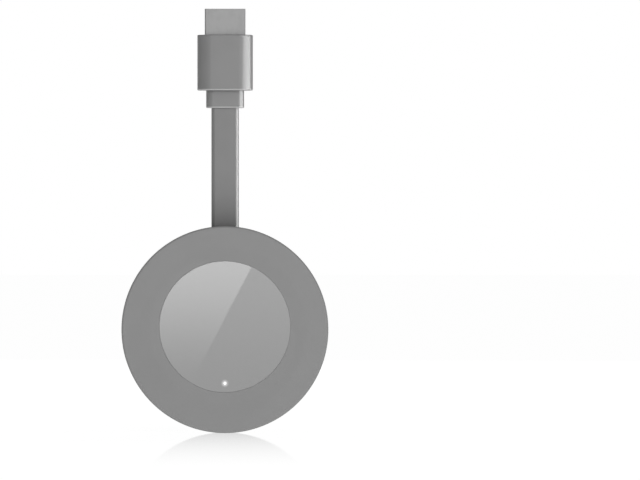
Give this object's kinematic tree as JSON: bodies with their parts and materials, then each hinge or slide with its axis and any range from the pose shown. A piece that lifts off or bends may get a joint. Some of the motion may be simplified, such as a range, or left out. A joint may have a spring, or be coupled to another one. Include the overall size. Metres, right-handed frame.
{
  "type": "streaming media stick",
  "caption": "Round matt grey streaming receiver with a glossy inlay and a status light, hung by a short flat lead from an HDMI plug with a stadium-shaped grip.",
  "frame": {"origin": "centre of the overmould's shoulder, where the HDMI shell comes out of the grip", "axes": "+Z along the plug, out of the grip towards the television; the puck hangs towards -Z; +X to the viewer's right; +Y away from the viewer, so the inlay faces -Y"},
  "size_m": [0.0706, 0.014, 0.1449],
  "materials": {
    "plug_steel": "nickel-plated folded sheet, satin",
    "gold_plate": "gold-plated copper alloy, bright",
    "black_insulator": "glass-filled moulding, matt",
    "green_board": "solder mask over glass laminate",
    "natural_core_mould": "hard inner moulding, natural colour",
    "grey_grip": "soft-touch moulding, satin",
    "core_insulation": "extruded insulation round copper",
    "grey_cover": "fine spark-eroded texture, matt",
    "gloss_disc": "polished moulding, high gloss",
    "adhesive_film": "double-sided foam film",
    "clear_light_pipe": "clear acrylic, lit from behind",
    "led_body": "moulded lens over the die",
    "screw_steel": "zinc-plated, cross recess",
    "chip_epoxy": "moulded epoxy",
    "ferrite": "pressed ferrite",
    "capacitor_ceramic": "fired ceramic with tinned ends",
    "can_steel": "tinned sheet, satin",
    "thermal_silicone": "soft filled silicone",
    "spreader_aluminium": "rolled and stamped plate",
    "connector_nylon": "natural nylon",
    "usb_steel": "drawn stainless sleeve",
    "switch_black": "moulded case"
  },
  "bodies": {
    "plug": {"plug_shell": "plug_steel", "plug_insulator": "black_insulator", "plug_contacts": "gold_plate", "plug_board": "green_board", "plug_inner_mould": "natural_core_mould", "plug_overmould": "grey_grip", "plug_strain_relief": "grey_grip", "lead_jacket": "grey_grip", "lead_cores": "core_insulation"},
    "puck": {"front_cover": "grey_cover", "rear_cover": "grey_cover", "face_disc": "gloss_disc", "disc_adhesive": "adhesive_film", "light_pipe": "clear_light_pipe", "status_led": "led_body", "main_board": "green_board", "board_screws": "screw_steel", "processor_chip": "chip_epoxy", "memory_chips": "chip_epoxy", "flash_chip": "chip_epoxy", "power_chip": "chip_epoxy", "inductors": "ferrite", "capacitors": "capacitor_ceramic", "crystal": "can_steel", "shield_frame": "can_steel", "shield_cover": "can_steel", "chip_pad": "thermal_silicone", "spreader_pad": "thermal_silicone", "heat_spreader": "spreader_aluminium", "wireless_module": "can_steel", "left_antenna": "gold_plate", "right_antenna": "gold_plate", "board_socket": "connector_nylon", "lead_plug": "connector_nylon", "lead_grommet": "grey_grip", "usb_shell": "usb_steel", "usb_tongue": "black_insulator", "usb_contacts": "gold_plate", "reset_switch": "switch_black"},
    "reset": {"reset_key": "grey_cover", "switch_plunger": "switch_black"}
  },
  "joints": [
    {"name": "cable_bend", "type": "hinge", "parent": "plug", "child": "puck", "pos_m": [0, 0, -0.0452], "axis": [1, 0, 0], "range_deg": [-90, 90], "stiffness_Nm_per_rad": 0.02, "deforming": ["lead_jacket", "lead_cores"]},
    {"name": "reset_button", "type": "slide", "parent": "puck", "child": "reset", "axis": [-0.4067, 0, 0.9135], "range_m": [0, 0.0005], "stiffness_N_per_m": 800, "springref_m": -0.001}
  ]
}
